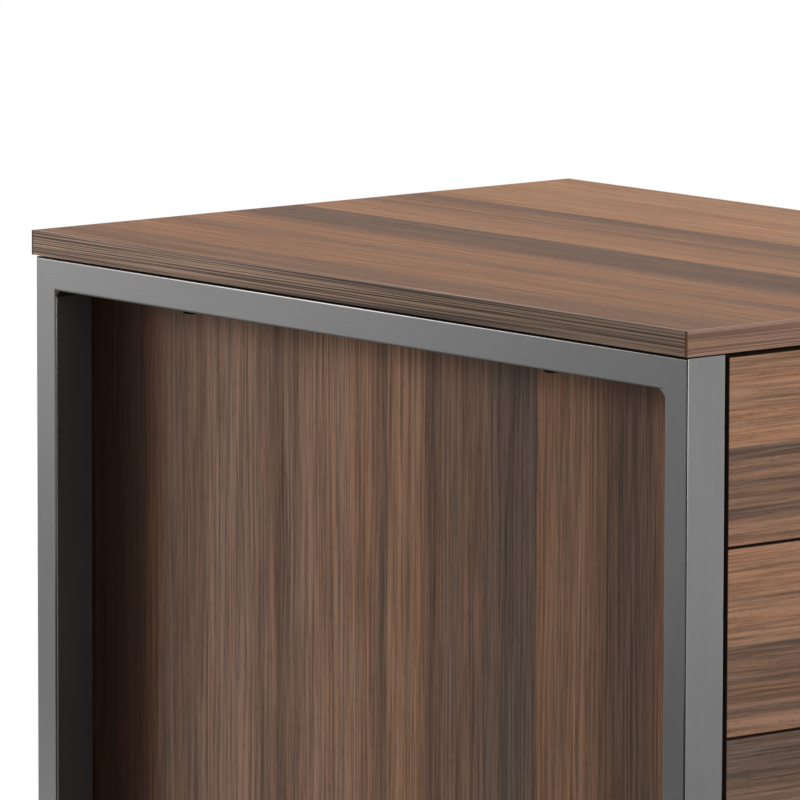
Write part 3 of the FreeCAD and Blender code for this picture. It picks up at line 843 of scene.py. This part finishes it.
def modelLever():
    tab, bend, sheet = lever["tab"], lever["bend"], lever["sheet"]
    tongue = addBlock((lever["length"], lever["height"], sheet), (0, 0, sheet / 2))
    pickFaces(tongue, facesAhead)
    for share in lever["tabShares"]:
        extrudeTapered((tab * share, -bend * share, bend * share / 2), lever["tabTaper"])
    pickFaces(tongue, facesBack)
    for share in lever["hookShares"]:
        extrudeTapered((-tab * share, bend * share / 2, 0), lever["hookTaper"])
    bpy.ops.object.mode_set(mode="OBJECT")
    softenEdges(tongue, lever["edge"])
    rivet = addDisc(lever["pin"], 0, sheet + lever["pinRise"] / 2, lever["pinSides"])
    pickFaces(rivet, facesUp)
    rim, flat = lever["pinShares"]
    insetAndLift(lever["pin"] * rim, lever["pinRise"] / 2)
    insetAndLift(lever["pin"] * flat, 0)
    extrude((0, 0, -lever["dimple"]))
    bpy.ops.object.mode_set(mode="OBJECT")
    return joinInto(tongue, rivet)


# A levelling glide: a fluted pad on a nylon sole, and a threaded stem
glide = {
    "radius": 12.5 * mm,
    "height": 8.0 * mm,
    "sole": 1.8 * mm,
    "soleInset": 1.3 * mm,
    "soleStep": 0.5 * mm,
    "soleRound": 0.6 * mm,
    "flutes": 30,
    "fluteDepth": 0.7 * mm,
    "fluteEdge": 0.15 * mm,
    "rimShare": 0.97,
    "chamfer": 1.8 * mm,
    "shoulderShare": 0.93,
    "brimShare": 0.12,
    "collar": 7.0 * mm,
    "collarEdge": 0.3 * mm,
}
stem = {
    "core": 3.35 * mm,
    "crest": 3.95 * mm,
    "root": 0.1 * mm,
    "low": 7.0 * mm,
    "pitch": 1.25 * mm,
    "toothShare": 0.42,
    "turns": 12,
    "sides": 28,
    "edge": 0.5 * mm,
}


def modelGlide():
    radius, step, edge = glide["radius"], glide["soleStep"], glide["collarEdge"]
    brim = radius * (glide["shoulderShare"] - glide["brimShare"])
    body = addDisc(radius, glide["sole"], glide["height"] - glide["chamfer"], glide["flutes"] * 2)
    pickFaces(body, facesUp)
    extrude((0, 0, glide["chamfer"] / 2))
    bpy.ops.transform.resize(value=(glide["shoulderShare"], glide["shoulderShare"], 1))
    insetAndLift(radius * glide["brimShare"], glide["chamfer"] / 2 - edge)
    bpy.ops.mesh.inset(thickness=brim - glide["collar"])
    insetAndLift(edge, edge)
    pickFaces(body, facesDown)
    bpy.ops.mesh.inset(thickness=glide["soleInset"])
    extrude((0, 0, step - glide["sole"]))
    insetAndLift(glide["soleRound"], -step)
    bpy.ops.object.mode_set(mode="OBJECT")

    def everyOther(centre, normal):
        spoke = centre.to_2d()
        if abs(normal.z) > 1 - squarely or spoke.length < radius * glide["rimShare"]:
            return False
        around = (spoke.angle_signed(Vector((1, 0))) + 2 * pi) * glide["flutes"] / pi
        return int(around) % 2 == 0

    pickFaces(body, everyOther)
    bpy.ops.mesh.inset(thickness=glide["fluteEdge"], depth=-glide["fluteDepth"],
                       use_individual=True)
    bpy.ops.object.mode_set(mode="OBJECT")
    return body


def modelStem():
    low, pitch = stem["low"], stem["pitch"]
    core = addDisc(stem["core"], low, low + pitch * (stem["turns"] + 1), stem["sides"])
    softenEdges(core, stem["edge"], 1)
    startPiece()
    bpy.ops.mesh.primitive_circle_add(vertices=3, radius=pitch)
    thread = bpy.context.object
    # the triangle's first corner points outwards, and the other two stay inside the core
    root, tooth = stem["core"] - stem["root"], pitch * stem["toothShare"]
    for corner, (x, rise) in zip(thread.data.vertices,
                                 ((stem["crest"], 0), (root, tooth), (root, -tooth))):
        corner.co = (x, 0, low + pitch / 2 + rise)
    finishWith(thread, "SCREW", axis="Z", angle=2 * pi, screw_offset=pitch,
               iterations=stem["turns"], steps=stem["sides"], render_steps=stem["sides"])
    bpy.ops.object.mode_set(mode="EDIT")
    bpy.ops.mesh.select_all(action="SELECT")
    bpy.ops.mesh.fill_holes(sides=4)
    bpy.ops.mesh.normals_make_consistent(inside=False)
    bpy.ops.object.mode_set(mode="OBJECT")
    return joinInto(core, thread)


rightLow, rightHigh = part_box("right_side_panel")
sidePanelX = (rightLow.x + rightHigh.x) / 2
drawerFit = {"postReach": 80.0 * mm, "bumperInset": 13.0 * mm, "slideSheet": 1.2 * mm,
             "screwInset": 38.0 * mm, "screwShare": 0.4, "leverShare": 0.66}
for drawer in drawers:
    low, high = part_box(drawer + "_front")
    pullLow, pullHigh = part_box(drawer + "_pull")
    pullZ = (pullLow.z + pullHigh.z) / 2
    spread(modelScrew(pullScrew), drawer + "_pull_screws", drawer, "zinc_steel", zincScrew,
           [((side * drawerFit["postReach"], high.y, pullZ), yWay, xWay) for side in (-1, 1)])
    bumpersZ = (low.z + drawerFit["bumperInset"], high.z - drawerFit["bumperInset"])
    spread(modelBumper(), drawer + "_bumpers", drawer, "pad_rubber", blackRubber,
           [((side * sidePanelX, high.y, z), yWay, xWay) for side in (-1, 1) for z in bumpersZ])
    slideLow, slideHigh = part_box(drawer + "_inner_slides")
    length = slideHigh.y - slideLow.y
    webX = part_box(drawer + "_right_side")[1].x + drawerFit["slideSheet"]
    middleZ = (slideLow.z + slideHigh.z) / 2
    screwsY = (slideLow.y + drawerFit["screwInset"],
               slideLow.y + length * drawerFit["screwShare"],
               slideHigh.y - drawerFit["screwInset"])
    spread(modelScrew(slideScrew), drawer + "_slide_screws", drawer, "zinc_steel", zincScrew,
           [((side * webX, y, middleZ), (side, 0, 0), yWay) for side in (-1, 1) for y in screwsY])
    leverY = slideLow.y + length * drawerFit["leverShare"]
    spread(modelLever(), drawer + "_release_levers", drawer, "pad_rubber", blackNylon,
           [((side * webX, leverY, middleZ), (side, 0, 0), yWay) for side in (-1, 1)])
print("drawer fittings modelled")

for corner in corners:
    low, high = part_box(corner + "_foot")
    middle = ((low.x + high.x) / 2, (low.y + high.y) / 2, 0)
    pad = spread(modelGlide(), corner + "_glide", corner + "_foot", "foot_steel", blackNylon,
                 [(middle, zWay, xWay)])
    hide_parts(corner + "_foot")
    spread(modelStem(), corner + "_stem", corner + "_foot", "foot_steel", zincScrew,
           [(middle, zWay, xWay)])
print("feet modelled")

backLow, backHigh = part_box("back_panel")
backFit = {"edge": 7.5 * mm, "rowInset": 60.0 * mm, "columnInset": 95.0 * mm}
rowsZ = (backLow.z + backFit["rowInset"], (backLow.z + backHigh.z) / 2,
         backHigh.z - backFit["rowInset"])
edgesZ = (backLow.z + backFit["edge"], backHigh.z - backFit["edge"])
backPlaces = [((side * x, backHigh.y, z), yWay, xWay)
              for x, column in ((sidePanelX, rowsZ), (backFit["columnInset"], edgesZ))
              for side in (-1, 1) for z in column]
spread(modelScrew(backScrew), "back_panel_screws", "cabinet", "dark_screw", blackSteel, backPlaces)

# A rounded trim ring on the lock's flange
trimRing = {"inner": 6.4 * mm, "outer": 11.2 * mm, "rise": 0.7 * mm, "profileSides": 10,
            "steps": 64, "mergeGap": 0.01 * mm}


def modelTrimRing():
    halfWidth = (trimRing["outer"] - trimRing["inner"]) / 2
    startPiece()
    bpy.ops.mesh.primitive_circle_add(vertices=trimRing["profileSides"], radius=halfWidth,
                                      location=(trimRing["inner"] + halfWidth, 0, 0),
                                      rotation=(pi / 2, 0, 0))
    ring = bpy.context.object
    ring.scale = (1, trimRing["rise"] / halfWidth, 1)
    settle()
    finishWith(ring, "SCREW", axis="Z", angle=2 * pi, steps=trimRing["steps"],
               render_steps=trimRing["steps"])
    bpy.ops.object.mode_set(mode="EDIT")
    bpy.ops.mesh.select_all(action="SELECT")
    bpy.ops.mesh.remove_doubles(threshold=trimRing["mergeGap"])
    bpy.ops.mesh.normals_make_consistent(inside=False)
    bpy.ops.object.mode_set(mode="OBJECT")
    return ring


lockLow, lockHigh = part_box("lock_barrel")
lockFace = ((lockLow.x + lockHigh.x) / 2, lockLow.y, (lockLow.z + lockHigh.z) / 2)
spread(modelTrimRing(), "lock_trim_ring", "top_drawer", "lock_chrome", nickel,
       [(lockFace, frontWay, xWay)])
print("back screws and lock trim modelled")


# Studio: a pale floor that fades out, soft boxes, and cards that only reflections see
studioFloor = {"radius": 1.3, "sides": 96, "fadeFrom": 0.55, "fadeTo": 1.1, "roughness": 0.9,
               "sheen": 0.1, "colour": (0.78, 0.78, 0.78), "bounce": (0.34, 0.34, 0.34)}


def seenBy(tree, *rays):
    # one for rays from the camera and for the named kinds, and zero for all others
    path = addNode(tree, "LightPath").outputs
    seen = path["Is Camera Ray"]
    for ray in rays:
        seen = calc(tree, "MAXIMUM", seen, path["Is " + ray + " Ray"])
    return seen


def mixInto(tree, share, first, second, output):
    mix = addNode(tree, "MixShader")
    for socket, value in zip(mix.inputs, (share, first, second)):
        tree.links.new(value, socket)
    tree.links.new(mix.outputs[0], tree.nodes[output].inputs["Surface"])


def makeFloor():
    bpy.ops.object.select_all(action="DESELECT")
    bpy.ops.mesh.primitive_circle_add(vertices=studioFloor["sides"], radius=studioFloor["radius"],
                                      fill_type="NGON")
    floor = bpy.context.object
    floor.name = "studioFloor"
    material, tree, shader = newMaterial("paleFloor")
    far = addNode(tree, "VectorMath", operation="LENGTH")
    tree.links.new(addNode(tree, "TexCoord").outputs["Object"], far.inputs[0])
    fade = stepUp(tree, far.outputs["Value"], studioFloor["fadeFrom"], studioFloor["fadeTo"])
    shown = blendColour(tree, seenBy(tree, "Glossy"), rgba(studioFloor["bounce"]),
                        rgba(studioFloor["colour"]))
    tree.links.new(shown, shader.inputs["Base Color"])
    shader.inputs["Roughness"].default_value = studioFloor["roughness"]
    shader.inputs["Specular IOR Level"].default_value = studioFloor["sheen"]
    clear = addNode(tree, "BsdfTransparent")
    mixInto(tree, fade, shader.outputs[0], clear.outputs[0], "Material Output")
    floor.data.materials.append(material)
    floor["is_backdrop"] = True


softBoxes = {
    "overhead": {"place": (0.62, 0.35, 2.1), "aim": (0.62, 0.35, 0.5), "size": (1.6, 1.6),
                 "power": 23, "gloss": True},
    "front": {"place": (0.4, -2.3, 1.0), "aim": (0, -0.3, 0.45), "size": (1.1, 1.0),
              "power": 42, "gloss": False},
    "frontStrip": {"place": (-0.6, -2.2, 0.8), "aim": (-0.2, -0.3, 0.45), "size": (0.3, 1.2),
                   "power": 6, "gloss": True},
    "leftRear": {"place": (-1.27, 2.99, 0.98), "aim": (-0.19, 0.25, 0.4), "size": (0.95, 1.1),
                 "power": 128, "gloss": False},
    "right": {"place": (2.2, -0.2, 1.0), "aim": (0.2, 0, 0.4), "size": (1.0, 1.2), "power": 12,
              "gloss": True},
}


def turnTowards(place, aim):
    return (Vector(aim) - Vector(place)).to_track_quat("-Z", "Y").to_euler()


def makeSoftBox(name, box):
    lamp = bpy.data.lights.new(name, "AREA")
    lamp.shape = "RECTANGLE"
    lamp.size, lamp.size_y = box["size"]
    lamp.energy = box["power"]
    holder = bpy.data.objects.new(name, lamp)
    bpy.context.scene.collection.objects.link(holder)
    holder.location = box["place"]
    holder.rotation_euler = turnTowards(box["place"], box["aim"])
    holder.visible_glossy = box["gloss"]


# Black, grey and bright cards, as beside a photographed metal frame
cards = {
    "leftCard": {"place": (-0.9, 0.02, 0.55), "aim": (0, 0.02, 0.55), "size": (1.16, 1.5),
                 "glow": 0.42},
    "leftLowCard": {"place": (-0.88, 0.02, 0.13), "aim": (0, 0.02, 0.13), "size": (1.16, 0.30),
                    "glow": 0.12},
    "cornerCard": {"place": (-0.9, -1.28, 0.55), "aim": (0, -1.28, 0.55), "size": (1.44, 1.5),
                   "glow": 0.0},
    "rearCard": {"place": (-1.1, 1.95, 0.8), "aim": (0, 1.95, 0.8), "size": (1.1, 1.0),
                 "glow": 1.5},
    "rearTopCard": {"place": (-1.2, 1.75, 1.3), "aim": (0, 1.75, 1.3), "size": (1.1, 0.9),
                    "glow": 4.5},
    "rearLowCard": {"place": (-1.16, 1.45, 0.11), "aim": (-0.2, 0.3, 0.11), "size": (1.6, 0.22),
                    "glow": 0.15},
    "frontCard": {"place": (0.95, -1.75, 0.62), "aim": (-0.2, -0.3, 0.5), "size": (1.5, 1.1),
                  "glow": 0.80},
    "frontLowCard": {"place": (0.57, -1.21, 0.07), "aim": (-0.2, -0.3, 0.07),
                     "size": (1.6, 0.14), "glow": 0.0},
}


def makeCard(name, card):
    bpy.ops.object.select_all(action="DESELECT")
    bpy.ops.mesh.primitive_plane_add(size=1, location=card["place"],
                                     rotation=turnTowards(card["place"], card["aim"]))
    sheet = bpy.context.object
    sheet.name = name
    sheet.scale = (*card["size"], 1)
    settle()
    sheet.visible_camera = False
    sheet.visible_diffuse = False
    sheet.visible_shadow = False
    sheet.visible_transmission = False
    material, tree, shader = newMaterial(name)
    shader.inputs["Base Color"].default_value = black
    shader.inputs["Roughness"].default_value = 1.0
    shader.inputs["Specular IOR Level"].default_value = 0.0
    shader.inputs["Emission Color"].default_value = white
    shader.inputs["Emission Strength"].default_value = card["glow"]
    sheet.data.materials.append(material)
    sheet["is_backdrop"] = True


# The world is white where it is seen, and gives the object only a faint fill
worldGlow = {"seen": 1.0, "fill": 0.03}


def makeWorld():
    world = bpy.data.worlds.new("studioWorld")
    bpy.context.scene.world = world
    world.use_nodes = True
    tree = world.node_tree
    seen = tree.nodes["Background"]
    fill = addNode(tree, "Background")
    for node, glow in ((seen, worldGlow["seen"]), (fill, worldGlow["fill"])):
        node.inputs["Color"].default_value = white
        node.inputs["Strength"].default_value = glow
    shown = seenBy(tree, "Glossy", "Transmission")
    mixInto(tree, shown, fill.outputs[0], seen.outputs[0], "World Output")


makeFloor()
for name, box in softBoxes.items():
    makeSoftBox(name, box)
for name, card in cards.items():
    makeCard(name, card)
makeWorld()
print("studio set")


# Camera: a long lens, low, from the front left. right, up and ahead say where the top's front
# left upper corner lies from it
cameraSet = {
    "lens": 408.79,
    "sensor": 36.0,
    "farClip": 60.0,
    "yaw": 0.6979,
    "pitch": 0.1404,
    "roll": 0.0025,
    "right": 164.728 * mm,
    "up": 39.344 * mm,
    "ahead": 5205.355 * mm,
}


def makeCamera():
    yaw, pitch, roll = cameraSet["yaw"], cameraSet["pitch"], cameraSet["roll"]
    ahead = Vector((sin(yaw) * cos(pitch), cos(yaw) * cos(pitch), -sin(pitch)))
    level = Vector((cos(yaw), -sin(yaw), 0))
    upright = level.cross(ahead)
    right = level * cos(roll) + upright * sin(roll)
    up = upright * cos(roll) - level * sin(roll)
    corner = Vector((bandLow.x, bandLow.y, bandHigh.z))
    place = (corner - right * cameraSet["right"] - up * cameraSet["up"]
             - ahead * cameraSet["ahead"])
    lens = bpy.data.cameras.new("camera")
    lens.lens = cameraSet["lens"]
    lens.sensor_width = cameraSet["sensor"]
    lens.sensor_fit = "HORIZONTAL"
    lens.clip_end = cameraSet["farClip"]
    camera = bpy.data.objects.new("camera", lens)
    bpy.context.scene.collection.objects.link(camera)
    turn = Matrix((right, up, -ahead)).transposed()
    camera.matrix_world = Matrix.Translation(place) @ turn.to_4x4()
    bpy.context.scene.camera = camera


makeCamera()
bpy.context.scene.view_settings.view_transform = "Standard"
print("camera set")

low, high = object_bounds()
